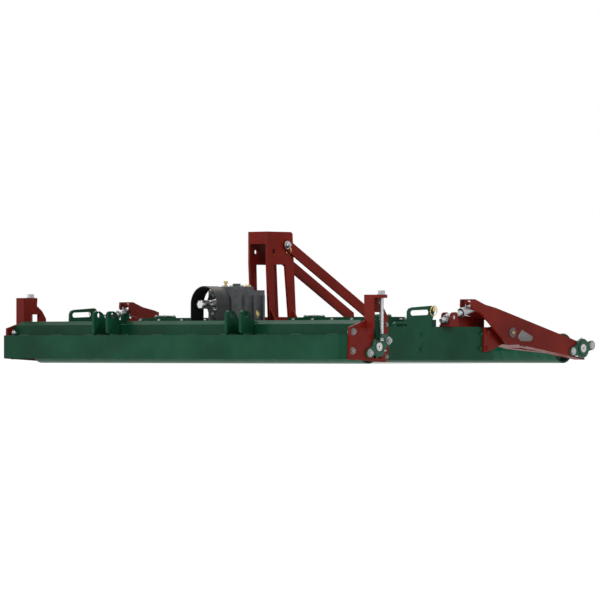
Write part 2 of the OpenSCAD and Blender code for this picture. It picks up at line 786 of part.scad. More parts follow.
module blade_end() {
  low = bar_z - step_h;
  difference() {
    rotate([90, 0, 0]) translate([0, 0, -blade_w / 2]) linear_extrude(blade_w)
      polygon([[0, bar_z], [step_in, bar_z], [step_out, low], [blade_r, low], [blade_r, low + blade_t],
        [step_out + 3, low + blade_t], [step_in + 3, bar_z + blade_t], [0, bar_z + blade_t]]);
    translate([step_out + 12, 0, 0]) rotate([90, 0, 90]) linear_extrude(blade_r)
      polygon([[blade_w / 2 - bevel, low - cut / 4], [blade_w / 2 + cut, low - cut / 4],
        [blade_w / 2 + cut, low + blade_t - 1], [blade_w / 2 - 0.5, low + blade_t - 1]]);
    translate([blade_r, -blade_w / 2, low - cut]) rotate(45) cube([26, 26, blade_t + 2 * cut], center = true);
  }
}

module rotor_blades(p) {
  color("#4a464d") place() translate([p[0], p[1], 0]) rotate(blade_turn) difference() {
    for (s = [0, 180]) rotate(s) blade_end();
    translate([0, 0, bar_z - cut]) cylinder(h = blade_t + 2 * cut, r = spigot_r + skin);
  }
}

module rotor_shaft_left() { rotor_shaft(ROTORS[0]); }
module rotor_shaft_middle() { rotor_shaft(ROTORS[1]); }
module rotor_shaft_right() { rotor_shaft(ROTORS[2]); }
module rotor_dish_left() { rotor_dish(ROTORS[0]); }
module rotor_dish_middle() { rotor_dish(ROTORS[1]); }
module rotor_dish_right() { rotor_dish(ROTORS[2]); }
module rotor_blades_left() { rotor_blades(ROTORS[0]); }
module rotor_blades_middle() { rotor_blades(ROTORS[1]); }
module rotor_blades_right() { rotor_blades(ROTORS[2]); }

deck_plate();
front_fascia();
side_plate_left();
side_plate_right();
rear_skirt();
baffle_left();
baffle_middle();
baffle_right();
spindle_housings();
front_bracket_left();
front_bracket_right();
height_screws();
hitch_beam();
roller_hood();
lower_lugs();
top_mast();
mast_stays();
rear_beam();
gearbox();
shaft_guard();
belt_cover();
rear_stays();
arm_bracket_left();
arm_bracket_right();
screw_clevises();
arm_pins();
input_shaft();
rotor_shaft_left();
rotor_dish_left();
rotor_blades_left();
rotor_shaft_middle();
rotor_dish_middle();
rotor_blades_middle();
rotor_shaft_right();
rotor_dish_right();
rotor_blades_right();
front_flanges();
front_roller();
rear_arm_left();
rear_arm_right();
rear_flanges();
rear_roller();
adjuster_screws();
adjuster_tubes();
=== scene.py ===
import json
import math
import random

import bmesh
import bpy
from mathutils import Matrix, Vector


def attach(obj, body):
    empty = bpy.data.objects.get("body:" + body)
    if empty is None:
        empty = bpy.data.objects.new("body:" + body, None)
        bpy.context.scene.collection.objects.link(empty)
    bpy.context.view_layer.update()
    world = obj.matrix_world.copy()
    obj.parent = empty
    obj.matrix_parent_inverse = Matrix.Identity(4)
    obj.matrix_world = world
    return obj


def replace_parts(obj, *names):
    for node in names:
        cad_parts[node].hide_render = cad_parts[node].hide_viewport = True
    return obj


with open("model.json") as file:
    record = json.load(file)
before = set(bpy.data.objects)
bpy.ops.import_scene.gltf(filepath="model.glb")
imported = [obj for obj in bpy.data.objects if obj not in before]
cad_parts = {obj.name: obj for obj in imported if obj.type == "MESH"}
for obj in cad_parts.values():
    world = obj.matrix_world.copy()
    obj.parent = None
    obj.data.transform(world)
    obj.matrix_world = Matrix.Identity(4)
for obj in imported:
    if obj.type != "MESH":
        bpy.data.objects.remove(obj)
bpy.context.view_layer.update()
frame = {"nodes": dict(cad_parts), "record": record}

random.seed(7)
TAU = 2 * math.pi
X, Y, Z = Vector((1, 0, 0)), Vector((0, 1, 0)), Vector((0, 0, 1))
SIDES = (-1, 1)

# Sizes are millimetres, unless a comment says otherwise. The source counts
# heights from the side plates' lower edge and lengths from the row of the
# outer rotors. P() turns its millimetres into metres of the frame.
MID_Y = 125.0
GAP = 14.0


def P(x, y, z):
    return Vector((x, y - MID_Y, z + GAP)) / 1000


def flip(v, s):
    """The same place or direction on the left side for s = -1."""
    return Vector((v[0] * s, v[1], v[2]))


def spot(x, y, z, s):
    """P() on the right side for s = 1, on the left side for s = -1."""
    return flip(P(x, y, z), s)


def polar(r, a, h=0):
    """Metres from a radius, an angle and a height."""
    return Vector((r / 1000 * math.cos(a), r / 1000 * math.sin(a), h / 1000))


def circle(n, shift=0):
    """The angles of n places round a circle."""
    return [TAU * (k + shift) / n for k in range(n)]


# Sizes that the details share with the source
HALF_W = 918                        # side plates' outer faces
PLATE = 10                          # their thickness
FOLD = 5                            # thickness of the front wall's folded corners
BRK_OUT = HALF_W + PLATE            # outer faces of the red brackets
BAR_OUT = 955                       # outer faces of the arms' bars
BAR_IN = 945                        # their inner faces
FRONT_AXLE = (-400, 50)
REAR_AXLE = (768, 44.5)
PIVOT = (350, 105)                  # the arms turn here
PIN_Q = (160, 203)                  # adjusters' pin in the arm's head
TRUNNION = (12, 163)                # adjusters' pin in the deck's clevis
ADJ_X = 927
SCREW_X = 947                       # front height screws
FLANGE_BOLTS = 58                   # from the axle to a flange's bolts
DECK_TOP = 118
COVER_LEDGE = DECK_TOP + 38         # flange of the belt cover
COVER_TOP = DECK_TOP + 48
PTO_Z = 215
GEAR_Y = -195
GEAR_TOP = DECK_TOP + 168
ROTOR_X = 582
MIDDLE_Y = 255
ROTORS = {"left": (-ROTOR_X, 0), "middle": (0, MIDDLE_Y), "right": (ROTOR_X, 0)}
CORNER = (908, 280)                 # here the slanted wall leaves the side plate
REAR_CORNER = (411, 647)            # and here it meets the rear wall
SLANT = math.atan2(REAR_CORNER[1] - CORNER[1], CORNER[0] - REAR_CORNER[0])

# How far the foot of a detail sinks into the face that carries it
SUNK = 0.4
PLATE_SUNK = 0.2

# Materials

# Sockets of a Mix node in its colour mode and in its number mode
COLOR_A, COLOR_B, COLOR_OUT = 6, 7, 2
FLOAT_A, FLOAT_B, FLOAT_OUT = 2, 3, 0


class Shader:
    """A Principled material with short ways to add and join its nodes."""

    def __init__(self, name):
        self.mat = bpy.data.materials.new(name)
        self.mat.use_nodes = True
        self.tree = self.mat.node_tree
        self.tree.nodes.clear()
        self.out = self.new("ShaderNodeOutputMaterial")
        self.bsdf = self.new("ShaderNodeBsdfPrincipled")
        self.link(self.bsdf.outputs[0], self.out.inputs[0])
        self.coord = self.new("ShaderNodeTexCoord").outputs["Object"]
        self.geo = self.new("ShaderNodeNewGeometry")

    def new(self, kind):
        return self.tree.nodes.new(kind)

    def link(self, a, b):
        self.tree.links.new(a, b)

    def put(self, socket, value):
        """Joins a socket to the value, or sets it where the value is fixed."""
        if isinstance(value, bpy.types.NodeSocket):
            self.link(value, socket)
        elif isinstance(value, tuple) and len(value) == 3 and socket.type == "RGBA":
            socket.default_value = (*value, 1)
        else:
            socket.default_value = value

    def map(self, scale=(1, 1, 1), shift=(0, 0, 0)):
        n = self.new("ShaderNodeMapping")
        self.link(self.coord, n.inputs["Vector"])
        n.inputs["Scale"].default_value = scale
        n.inputs["Location"].default_value = shift
        return n.outputs[0]

    def noise(self, scale, detail=4, rough=0.55, vector=None, twist=0.0):
        n = self.new("ShaderNodeTexNoise")
        self.link(vector or self.coord, n.inputs["Vector"])
        n.inputs["Scale"].default_value = scale
        n.inputs["Detail"].default_value = detail
        n.inputs["Roughness"].default_value = rough
        n.inputs["Distortion"].default_value = twist
        return n.outputs[0]

    def range(self, value, a, b, c=0.0, d=1.0):
        """Maps a to b onto c to d, and holds it there."""
        n = self.new("ShaderNodeMapRange")
        self.link(value, n.inputs["Value"])
        for key, v in zip(("From Min", "From Max", "To Min", "To Max"), (a, b, c, d)):
            n.inputs[key].default_value = v
        return n.outputs[0]

    def math(self, kind, a, b):
        n = self.new("ShaderNodeMath")
        n.operation = kind
        self.put(n.inputs[0], a)
        self.put(n.inputs[1], b)
        return n.outputs[0]

    def plus(self, a, b):
        return self.math("ADD", a, b)

    def minus(self, a, b):
        return self.math("SUBTRACT", a, b)

    def times(self, a, b):
        return self.math("MULTIPLY", a, b)

    def most(self, a, b):
        return self.math("MAXIMUM", a, b)

    def mix(self, fac, a, b):
        """Mixes two colours."""
        n = self.new("ShaderNodeMix")
        n.data_type = "RGBA"
        self.put(n.inputs["Factor"], fac)
        self.put(n.inputs[COLOR_A], a)
        self.put(n.inputs[COLOR_B], b)
        return n.outputs[COLOR_OUT]

    def blend(self, fac, a, b):
        """Mixes two numbers."""
        n = self.new("ShaderNodeMix")
        n.data_type = "FLOAT"
        self.put(n.inputs["Factor"], fac)
        self.put(n.inputs[FLOAT_A], a)
        self.put(n.inputs[FLOAT_B], b)
        return n.outputs[FLOAT_OUT]

    def height(self, vector):
        n = self.new("ShaderNodeSeparateXYZ")
        self.link(vector, n.inputs[0])
        return n.outputs["Z"]

    def facing_up(self, least):
        return self.range(self.height(self.geo.outputs["Normal"]), least, 1.0)

    def length(self, vector):
        n = self.new("ShaderNodeVectorMath")
        n.operation = "LENGTH"
        self.link(vector, n.inputs[0])
        return n.outputs["Value"]

    def round_edges(self, radius):
        """Normals rounded over the edges. The radius is metres."""
        n = self.new("ShaderNodeBevel")
        n.samples = 4
        n.inputs["Radius"].default_value = radius
        return n.outputs[0]

    def edges(self, rounded, low=0.015, high=0.16):
        """1 where the rounded normal leaves the face's own."""
        n = self.new("ShaderNodeVectorMath")
        n.operation = "DOT_PRODUCT"
        self.link(rounded, n.inputs[0])
        self.link(self.geo.outputs["Normal"], n.inputs[1])
        return self.range(n.outputs["Value"], 1 - low, 1 - high)

    def bump(self, height, strength, distance, normal):
        """A relief over the rounded edges. The distance is metres."""
        n = self.new("ShaderNodeBump")
        n.inputs["Strength"].default_value = strength
        n.inputs["Distance"].default_value = distance
        self.link(height, n.inputs["Height"])
        self.link(normal, n.inputs["Normal"])
        return n.outputs[0]

    def finish(self, color, rough, metal, normal, **fixed):
        for key, v in (("Base Color", color), ("Roughness", rough),
                       ("Metallic", metal), ("Normal", normal)):
            self.put(self.bsdf.inputs[key], v)
        for key, v in fixed.items():
            self.bsdf.inputs[key.replace("_", " ")].default_value = v
        return self.mat


DUST = (0.17, 0.145, 0.105)
SOIL = (0.09, 0.06, 0.035)
PRIMER = (0.09, 0.088, 0.085)
RUST = (0.13, 0.045, 0.018)
BARE_ROLLER = (0.24, 0.22, 0.2)
BARE_DISH = (0.30, 0.25, 0.22)
BARE_RIM = (0.28, 0.26, 0.25)
BARE_IRON = (0.16, 0.155, 0.15)


def tint(base, times, plus=0.0):
    """A lighter or darker tone of a colour."""
    return tuple(min(1, c * times + plus) for c in base)


def paint(name, base, gloss, wear, dust, coat=0.1, spec=0.22):
    """Sprayed enamel: clouds of tone, chipped edges, dust that settled, fine orange peel."""
    s = Shader(name)
    rounded = s.round_edges(0.0018)
    tone = s.mix(s.range(s.noise(5, 3), 0.3, 0.7), tint(base, 0.72), tint(base, 1.28, 0.004))
    tone = s.mix(s.range(s.noise(55, 5), 0.35, 0.7, 0, 0.35), tone, base)
    # rubbed streaks
    rub = s.range(s.noise(38, 6, 0.7, twist=0.6), 0.60, 0.74, 0, 0.5 * wear)
    tone = s.mix(rub, tone, tint(base, 1.7, 0.02))
    # chips to primer and rust along the edges, and here and there on the faces
    bite = s.range(s.noise(95, 7, 0.65), 0.60 - 0.12 * wear, 0.66 - 0.12 * wear)
    spots = s.range(s.noise(42, 9, 0.72), 0.745 - 0.035 * wear, 0.765 - 0.035 * wear)
    chip = s.most(s.times(s.edges(rounded), bite), spots)
    bare = s.mix(s.range(s.noise(160, 4), 0.45, 0.6), PRIMER, RUST)
    tone = s.mix(s.times(chip, 0.85), tone, bare)
    # dust on what faces up, and a film of it near the ground
    low = s.range(s.height(s.coord), 0.16, 0.0)
    film = s.times(s.range(s.noise(11, 8, 0.68), 0.38, 0.74), dust)
    film = s.times(film, s.plus(s.times(s.facing_up(0.35), 1.5), s.times(low, 0.35)))
    tone = s.mix(film, tone, DUST)
    rough = s.blend(s.range(s.noise(23, 5), 0.3, 0.75), gloss, gloss + 0.12)
    rough = s.blend(film, rough, 0.8)
    rough = s.blend(chip, rough, 0.6)
    normal = s.bump(s.minus(s.times(s.noise(420, 2), 0.35), chip), 0.22, 0.0004, rounded)
    return s.finish(tone, rough, s.times(chip, 0.35), normal,
                    Specular_IOR_Level=spec, Coat_Weight=coat, Coat_Roughness=0.08)


def steel(name, base, rough=0.32, grain=(1, 1, 1), tarnish=0.4, rust=0.25, scale=120):
    """Bare or plated steel: brushed one way, with tarnish clouds and rust freckles."""
    s = Shader(name)
    rounded = s.round_edges(0.0009)
    hairs = s.noise(scale, 6, 0.75, s.map(grain))
    tone = s.mix(s.range(hairs, 0.3, 0.7), tint(base, 0.72), tint(base, 1.25))
    cloud = s.range(s.noise(28, 6, 0.6), 0.45, 0.72, 0, tarnish)
    tone = s.mix(cloud, tone, tint(base, 0.45))
    freckle = s.range(s.noise(75, 9, 0.75), 0.68 - 0.1 * rust, 0.76 - 0.1 * rust)
    tone = s.mix(s.times(freckle, 0.8), tone, RUST)
    tone = s.mix(s.times(s.edges(rounded), 0.5), tone, tint(base, 1.5, 0.05))
    r = s.blend(s.range(hairs, 0.3, 0.7), rough, rough + 0.18)
    r = s.blend(freckle, r, 0.85)
    normal = s.bump(s.plus(hairs, s.times(freckle, 0.6)), 0.16, 0.0003, rounded)
    return s.finish(tone, r, s.blend(freckle, 0.95, 0.1), normal)


def casting(name, base, gloss=0.42):
    """Painted sand casting: grainy skin, dust on what faces up, worn rims."""
    s = Shader(name)
    rounded = s.round_edges(0.003)
    grain = s.noise(210, 5, 0.7)
    lumps = s.noise(38, 4)
    tone = s.mix(s.range(lumps, 0.3, 0.7), tint(base, 0.7), tint(base, 1.5, 0.004))
    edge = s.times(s.edges(rounded), s.range(s.noise(80, 6), 0.5, 0.62))
    tone = s.mix(s.times(edge, 0.6), tone, BARE_IRON)
    film = s.times(s.range(s.noise(17, 8, 0.7), 0.4, 0.75, 0, 0.45), s.facing_up(0.2))
    tone = s.mix(film, tone, DUST)
    rough = s.blend(film, s.blend(s.range(grain, 0.3, 0.7), gloss, gloss + 0.2), 0.85)
    normal = s.bump(s.plus(s.times(grain, 0.6), lumps), 0.4, 0.0011, rounded)
    return s.finish(tone, rough, s.times(edge, 0.6), normal)


def roller_paint(name, base):
    """Roller enamel, scuffed in rings by the ground, with patches of soil."""
    s = Shader(name)
    rounded = s.round_edges(0.0015)
    rings = s.noise(1, 8, 0.72, s.map((260, 9, 9)))
    broad = s.noise(1, 5, 0.6, s.map((22, 5, 5)))
    tone = s.mix(s.range(broad, 0.3, 0.7), tint(base, 0.78), tint(base, 1.25))
    scuff = s.range(s.plus(rings, s.times(broad, 0.35)), 0.74, 0.86, 0, 0.28)
    tone = s.mix(scuff, tone, tint(base, 1.5, 0.05))
    bare = s.range(s.plus(rings, s.times(s.noise(26, 7, 0.7), 0.5)), 0.94, 1.0, 0, 0.6)
    tone = s.mix(bare, tone, BARE_ROLLER)
    soil = s.range(s.noise(14, 9, 0.75), 0.56, 0.76, 0, 0.16)
    tone = s.mix(soil, tone, DUST)
    rough = s.blend(scuff, s.blend(soil, 0.17, 0.6), 0.36)
    height = s.minus(s.times(s.noise(400, 2), 0.25), s.times(scuff, 0.7))
    return s.finish(tone, rough, s.times(bare, 0.6), s.bump(height, 0.2, 0.0004, rounded),
                    Specular_IOR_Level=0.14, Coat_Weight=0.07, Coat_Roughness=0.06)


def dish_paint(name, base, centre):
    """Dish enamel, worn in rings about its own spindle and bare at the crown."""
    s = Shader(name)
    rounded = s.round_edges(0.0015)
    flat = s.new("ShaderNodeVectorMath")
    flat.operation = "MULTIPLY"
    s.link(s.map((1, 1, 1), (-centre[0], -centre[1], 0)), flat.inputs[0])
    flat.inputs[1].default_value = (1, 1, 0)
    r = s.length(flat.outputs[0])
    join = s.new("ShaderNodeCombineXYZ")
    s.link(s.times(r, 900), join.inputs[0])
    s.link(s.times(s.noise(7, 2), 3.0), join.inputs[1])
    rings = s.noise(1, 6, 0.7, join.outputs[0])
    tone = s.mix(s.range(s.noise(16, 4), 0.3, 0.7), tint(base, 0.75), tint(base, 1.2))
    crown = s.times(s.range(r, 0.056, 0.046), s.range(r, 0.026, 0.032))
    worn = s.range(s.plus(rings, s.times(crown, 0.16)), 0.66, 0.74, 0, 0.75)
    tone = s.mix(worn, tone, BARE_DISH)
    edge = s.times(s.edges(rounded), s.range(s.noise(85, 6), 0.46, 0.56))
    tone = s.mix(edge, tone, BARE_RIM)
    soil = s.range(s.noise(30, 9, 0.75), 0.55, 0.8, 0, 0.4)
    tone = s.mix(soil, tone, SOIL)
    rough = s.blend(worn, s.blend(soil, 0.22, 0.7), 0.42)
    height = s.minus(s.times(s.noise(380, 2), 0.2), s.times(worn, 0.6))
    return s.finish(tone, rough, s.times(s.most(worn, edge), 0.7),
                    s.bump(height, 0.25, 0.0004, rounded),
                    Specular_IOR_Level=0.25, Coat_Weight=0.12, Coat_Roughness=0.08)


def weld_steel(name, base):
    return steel(name, base, 0.45, rust=0.2, scale=60)


GREEN = (0.0035, 0.05, 0.0235)
ROLLER_GREEN = (0.0045, 0.062, 0.031)
FLANGE_GREEN = (0.005, 0.062, 0.032)
RED = (0.15, 0.0082, 0.0038)
MAST_RED = (0.20, 0.0105, 0.0045)
DISH_RED = (0.24, 0.0150, 0.0100)
WELD_RED = (0.12, 0.03, 0.025)
WELD_GREEN = (0.05, 0.09, 0.065)

# One material for each slot of the source
MATS = {
    "green_paint": paint("green_enamel", GREEN, 0.27, 0.4, 0.1, 0.02, 0.07),
    "roller_green": roller_paint("roller_enamel", ROLLER_GREEN),
    "flange_green": paint("flange_enamel", FLANGE_GREEN, 0.3, 0.6, 0.15),
    "red_paint": paint("red_enamel", RED, 0.3, 0.45, 0.12, 0.02, 0.08),
    "mast_red": paint("mast_enamel", MAST_RED, 0.36, 0.4, 0.14, 0.0, 0.08),
    "zinc": steel("zinc_plate", (0.36, 0.37, 0.375), 0.27, rust=0.15),
    "bright_steel": steel("turned_steel", (0.48, 0.48, 0.48), 0.26, (1, 1, 9), rust=0.2),
    "blade_steel": steel("blade_steel", (0.215, 0.2, 0.21), 0.4, (0.25, 1, 1), 0.45, 0.4, 90),
    "black_castings": casting("spindle_casting", (0.018, 0.018, 0.019)),
    "gearbox_casting": casting("gearbox_casting", (0.045, 0.047, 0.05)),
    "guard_black": paint("guard_enamel", (0.012, 0.012, 0.0125), 0.42, 0.3, 0.45)}

# More finishes for the pieces of the scene alone
BRASS = steel("yellow_zinc", (0.52, 0.40, 0.17), 0.3, rust=0.1)
GROUND = steel("ground_edge", (0.62, 0.61, 0.6), 0.24, (0.6, 6, 1), 0.25, 0.12, 160)
WELD = weld_steel("weld_bead", WELD_GREEN)
PLATE_BLANK = steel("blank_plate", (0.15, 0.145, 0.14), 0.45, (1, 12, 1), 0.3, 0.05, 150)
DULL = steel("dull_bolt", (0.17, 0.15, 0.145), 0.4, rust=0.3)
PIN = steel("pin_steel", (0.10, 0.075, 0.07), 0.42, rust=0.35)

slot_of = {row["node"]: row["material_slot"] for row in frame["record"]["subparts"]}
for node, obj in frame["nodes"].items():
    if node.startswith("rotor_dish_"):
        place = node.rsplit("_", 1)[1]
        mat = dish_paint("dish_enamel_" + place, DISH_RED, P(*ROTORS[place], 0))
    elif node == "arm_pins":
        mat = PIN
    else:
        mat = MATS[slot_of[node]]
    obj.data.materials.clear()
    obj.data.materials.append(mat)

# Mesh building


def axis_matrix(at, axis):
    """A frame whose Z runs along the axis."""
    axis = Vector(axis).normalized()
    side = Z if abs(axis.z) < 0.9 else X
    x = side.cross(axis).normalized()
    y = axis.cross(x)
    m = Matrix((x, y, axis)).transposed().to_4x4()
    m.translation = at
    return m


class Piece:
    """Gathers many small forms into one mesh that rides on one body."""

    def __init__(self, name, body, slot, mat=None, sharp=35):
        self.name, self.body, self.slot, self.sharp = name, body, slot, sharp
        self.mat = mat or MATS[slot]
        self.bm = bmesh.new()

    def grid(self, rings):
        """Joins rings of points, each as long as the others, into a skin with closed ends."""
        made = [[self.bm.verts.new(p) for p in ring] for ring in rings]
        n = len(made[0])
        for a, b in zip(made, made[1:]):
            for i in range(n):
                j = (i + 1) % n
                self.bm.faces.new((a[i], a[j], b[j], b[i]))
        self.bm.faces.new(list(reversed(made[0])))
        self.bm.faces.new(made[-1])

    def lathe(self, at, axis, profile, sides=24, turn=0.0):
        """Turns a profile of (radius, height) about an axis from a point."""
        m = axis_matrix(at, axis)
        self.grid([[m @ polar(r, turn + a, h) for a in circle(sides)] for r, h in profile])

    def ring(self, at, axis, profile, sides):
        """A turned ring: its closed profile doesn't reach the axis."""
        m = axis_matrix(at, axis)
        cols = [[self.bm.verts.new(m @ polar(r, a, h)) for r, h in profile]
                for a in circle(sides)]
        n = len(profile)
        for k in range(sides):
            a, b = cols[k], cols[(k + 1) % sides]
            for i in range(n):
                j = (i + 1) % n
                self.bm.faces.new((a[i], b[i], b[j], a[j]))

    def wire(self, points, r, sides=8):
        """A round wire along points."""
        rings = []
        for k, p in enumerate(points):
            d = (points[min(k + 1, len(points) - 1)] - points[max(k - 1, 0)]).normalized()
            m = axis_matrix(p, d)
            rings.append([m @ polar(r, a) for a in circle(sides)])
        self.grid(rings)

    def plate(self, outline, thick, place, chamfer=0.9):
        """A plate with broken edges: place(u, v, w) sets its outline and thickness."""
        cu = sum(p[0] for p in outline) / len(outline)
        cv = sum(p[1] for p in outline) / len(outline)
        rings = []
        for inset, w in ((chamfer, 0), (0, chamfer), (0, thick - chamfer), (chamfer, thick)):
            ring = []
            for u, v in outline:
                far = math.hypot(cu - u, cv - v)
                ring.append(place(u + (cu - u) / far * inset, v + (cv - v) / far * inset, w))
            rings.append(ring)
        self.grid(rings)

    def done(self):
        """Makes the object, gives it its body and material, and returns it."""
        bmesh.ops.remove_doubles(self.bm, verts=self.bm.verts, dist=1e-7)
        bmesh.ops.recalc_face_normals(self.bm, faces=self.bm.faces)
        mesh = bpy.data.meshes.new(self.name)
        self.bm.to_mesh(mesh)
        self.bm.free()
        for f in mesh.polygons:
            f.use_smooth = True
        mesh.set_sharp_from_angle(angle=math.radians(self.sharp))
        mesh.materials.append(self.mat)
        obj = bpy.data.objects.new(self.name, mesh)
        bpy.context.scene.collection.objects.link(obj)
        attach(obj, self.body)
        return obj


def hex_head(piece, at, axis, r, h, washer=1.8):
    """A washer, if it has a thickness, and a chamfered hexagon head with its corners at r."""
    turn = random.uniform(0, TAU / 6)
    if washer:
        w = r * 1.28
        piece.lathe(at, axis, [(w, -SUNK), (w, washer - 0.5), (w - 0.5, washer),
                               (r * 0.9, washer)], 28)
    foot = washer - 0.3 if washer else -SUNK
    piece.lathe(at, axis, [(r, foot), (r, washer + h * 0.78), (r * 0.87, washer + h),
                           (r * 0.3, washer + h)], 6, turn)


def nut_and_stud(piece, at, axis, r, h, stud):
    """A nut on its washer, with the end of the bolt standing out of it."""
    washer = 1.8
    hex_head(piece, at, axis, r, h, washer)
    end = washer + h + stud
    piece.lathe(at, axis, [(r * 0.52, 0), (r * 0.52, end - 1), (r * 0.42, end)], 20)


def nipple(piece, at, axis):
    """A grease nipple."""
    piece.lathe(at, axis, [(4.6, -1), (4.6, 2.4), (3.2, 2.6)], 6)
    piece.lathe(at, axis, [(2.6, 2), (2.6, 4), (1.9, 4.6), (1.9, 5.6), (2.7, 6.2), (2.7, 7.4),
                           (1.4, 8.2)], 16)


def bead(piece, a, b, r=3.0, pitch=2.6, sides=8):
    """A weld bead with its ripples from a to b."""
    long = (b - a).length
    n = max(3, int(long * 1000 / pitch))
    m = axis_matrix(a, b - a)
    rings = []
    for k in range(n + 1):
        f = k / n
        end = min(1.0, min(f, 1 - f) * n / 2 + 0.35)
        rr = r * end * (1 + 0.13 * (1 if k % 2 else -1) + random.uniform(-0.05, 0.05)) / 1000
        rings.append([m @ Vector((rr * math.cos(t), rr * math.sin(t),
                                  f * long + 0.0007 * math.cos(t)))
                      for t in circle(sides)])
    piece.grid(rings)


def stitches(piece, a, b, length=45, gap=110, r=3.0):
    """A row of short beads from a to b."""
    total = (b - a).length * 1000
    at = 12.0
    while at + length < total:
        bead(piece, a.lerp(b, at / total), a.lerp(b, (at + length) / total), r)
        at += length + gap


def thread(piece, at, axis, r, length, pitch=2.5, depth=0.75, sides=28):
    """A screw thread that stands a little proud of its core."""
    m = axis_matrix(at, axis)
    steps = int(length / pitch * 4)
    rings = []
    for k in range(steps + 1):
        z = length * k / steps
        fade = min(1, k / 4, (steps - k) / 4)
        ring = []
        for i, a in enumerate(circle(sides)):
            t = (z / pitch - i / sides) % 1.0
            ring.append(m @ polar(r - 0.12 + depth * fade * (1 - abs(2 * t - 1)), a, z))
        rings.append(ring)
    piece.grid(rings)


# Bolts of the deck

bolts = Piece("deck_bolts", "deck", "zinc")
green_bolts = Piece("side_plate_bolts", "deck", "green_paint")
red_bolts = Piece("arm_bracket_bolts", "deck", "red_paint")
dull_bolts = Piece("front_bracket_bolts", "deck", "zinc", DULL)
for s in SIDES:
    for piece, x, r, h, places in (
            (green_bolts, HALF_W, 8, 5, ((-134, 98), (-140, 40), (203, 100), (198, 44))),
            (dull_bolts, BRK_OUT, 11, 7.5, ((-537, 107), (-541, 35))),
            (dull_bolts, BRK_OUT, 7.2, 5, ((-352, 134), (-351, 13))),
            (red_bolts, BRK_OUT, 8, 5, ((235, 106), (231, 46)))):
        for y, z in places:
            hex_head(piece, spot(x, y, z, s), X * s, r, h)
    for thick, y, z in ((PLATE, -530, 105), (FOLD, -539, 36), (PLATE, -134, 98),
                        (PLATE, 203, 100)):
        nut_and_stud(bolts, spot(HALF_W - thick, y, z, s), -X * s, 10.5, 8, 4)
    # feet of the mast, the gearbox plate, the stays' lower and upper ends
    for y in (-30, 20, 58):
        hex_head(bolts, spot(94, y, DECK_TOP + 10, s), Z, 12, 8.5)
    for y in (-298, -102):
        hex_head(bolts, spot(103, y, DECK_TOP + 14, s), Z, 10, 7)
    hex_head(bolts, spot(78, 534, DECK_TOP + 48, s), Z, 11, 7.5)
    nut_and_stud(bolts, spot(60, 33, 452, s), X * s, 13, 10, 5)
for x, y in ROTORS.values():
    for a in circle(6, 0.5):
        hex_head(bolts, P(x + 66 * math.cos(a), y + 66 * math.sin(a), 100), -Z, 9.5, 6.5)
for piece in (bolts, green_bolts, red_bolts, dull_bolts):
    piece.done()

# Bolts through the lifting stays behind the slanted walls
STAY = 8                            # thickness of a stay
gold = Piece("yellow_bolts", "deck", "zinc", BRASS)
along = Vector((-math.cos(SLANT), math.sin(SLANT), 0))
outward = Vector((math.sin(SLANT), math.cos(SLANT), 0))
for s in SIDES:
    for z in (38, 70):
        at = Vector((*CORNER, 0)) + along * 288 + outward * 43
        hex_head(gold, spot(at.x, at.y, z, s), flip(-along, s), 10.5, 7.5)
        at += along * STAY
        nut_and_stud(gold, spot(at.x, at.y, z, s), flip(along, s), 10.5, 8.5, 5)
gold.done()

# Screws round the belt cover, the gearbox lid and the gearbox front
small = Piece("cover_bolts", "deck", "zinc")


def small_screw(at, axis, r=6, h=4.2):
    hex_head(small, at, axis, r, h, 1.2)


COVER_R = 105
for s in SIDES:
    for a in map(math.radians, (-62, 0, 62)):
        small_screw(spot(ROTOR_X + COVER_R * math.cos(a), COVER_R * math.sin(a),
                         COVER_LEDGE, s), Z)
    for f in (0.12, 0.37, 0.62, 0.87):
        small_screw(spot(120 + 462 * f, -53 - 50 * f, COVER_LEDGE, s), Z)
        small_screw(spot(ROTOR_X - 460 * f, 103 + 185 * f, COVER_LEDGE, s), Z)
    a = math.radians(58)
    small_screw(spot(COVER_R * math.cos(a), MIDDLE_Y + COVER_R * math.sin(a),
                     COVER_LEDGE, s), Z)
for a in circle(8, 0.5):
    small_screw(P(54 * math.cos(a), GEAR_Y + 54 * math.sin(a), GEAR_TOP), Z, 6.5, 4.5)
for a in circle(6):
    small_screw(P(43 * math.cos(a), -308, PTO_Z + 43 * math.sin(a)), -Y, 6.5, 4.5)
small.done()

# Folded lip of the front wall, guides of the brackets, caps over the rotors,
# the mast's tie and the standing plates beside the adjusters

lip = Piece("fascia_lip", "deck", "green_paint")
lip.plate([(-900, -587.3), (900, -587.3), (896, -566), (-896, -566)], 5,
          lambda u, v, w: P(u, v, 4.2 + w))
lip.done()

guides = Piece("bracket_guides", "deck", "red_paint")
for s in SIDES:
    for y in (-437, -377):
        guides.plate([(y, 122), (y + 14, 122), (y + 14, 184), (y + 10, 187), (y + 4, 187),
                      (y, 184)], 6.2,
                     lambda u, v, w: spot(BRK_OUT - PLATE_SUNK + w, u, v, s))
        for z in (136, 172):
            hex_head(guides, spot(BRK_OUT + 5.8, y + 7, z, s), X * s, 5.4, 3.4, 0)
guides.done()

caps = Piece("cover_caps", "deck", "green_paint")
cap_bolts = Piece("cover_cap_bolts", "deck", "zinc")
for x, y in ROTORS.values():
    caps.lathe(P(x, y, COVER_TOP), Z, [(44, -SUNK), (44, 5), (43.2, 6.6), (41.5, 7.4),
                                       (29, 7.6), (26.5, 9.8), (12, 10.4), (3, 10.4)], 48)
    for a in circle(4, 0.5):
        hex_head(cap_bolts, P(x + 35.5 * math.cos(a), y + 35.5 * math.sin(a), COVER_TOP + 7.2),
                 Z, 5.2, 3.6, 1.0)
caps.done()
cap_bolts.done()

